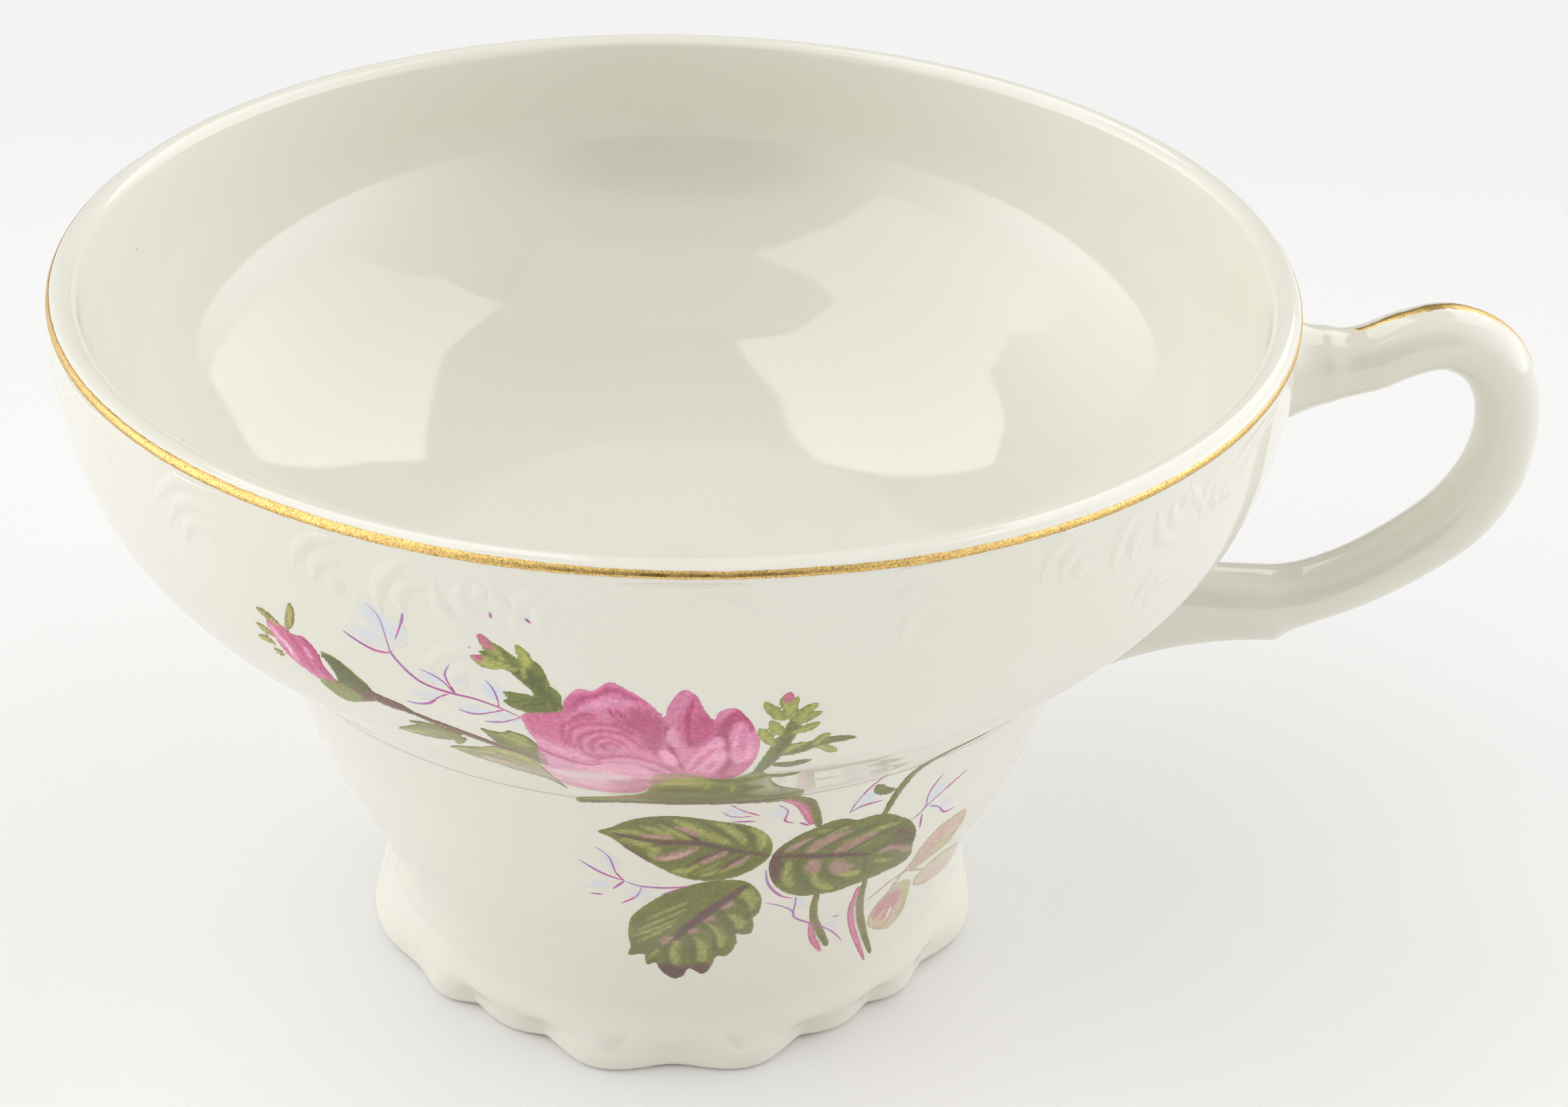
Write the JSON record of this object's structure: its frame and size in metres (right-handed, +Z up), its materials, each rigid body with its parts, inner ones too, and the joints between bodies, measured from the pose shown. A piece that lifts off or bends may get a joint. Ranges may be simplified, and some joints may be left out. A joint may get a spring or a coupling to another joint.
{
  "type": "teacup",
  "caption": "Footed porcelain teacup: shallow flared bowl on a hollow scalloped pedestal, loop handle with a tail, gilt lines and a printed rose spray.",
  "frame": {"origin": "on the cup's axis, in the plane of the foot ring that the cup rests on", "axes": "+Z up along the cup's axis, +X towards the handle, -Y towards the printed face"},
  "size_m": [0.1192, 0.0964, 0.063],
  "materials": {
    "porcelain": "gloss",
    "gilding": "polished",
    "rose_ink": "gloss",
    "bud_ink": "gloss",
    "leaf_ink": "gloss",
    "stem_ink": "gloss"
  },
  "bodies": {
    "root": {"cup_bowl": "porcelain", "foot_pedestal": "porcelain", "handle": "porcelain", "rim_gilt_line": "gilding", "handle_gilt_line": "gilding", "rose_print": "rose_ink", "rose_foliage_print": "leaf_ink", "rosebud_print": "bud_ink", "left_leaf_print": "leaf_ink", "right_leaf_print": "leaf_ink", "lower_leaf_print": "leaf_ink", "stalks_print": "stem_ink", "small_buds_print": "bud_ink"}
  },
  "joints": []
}
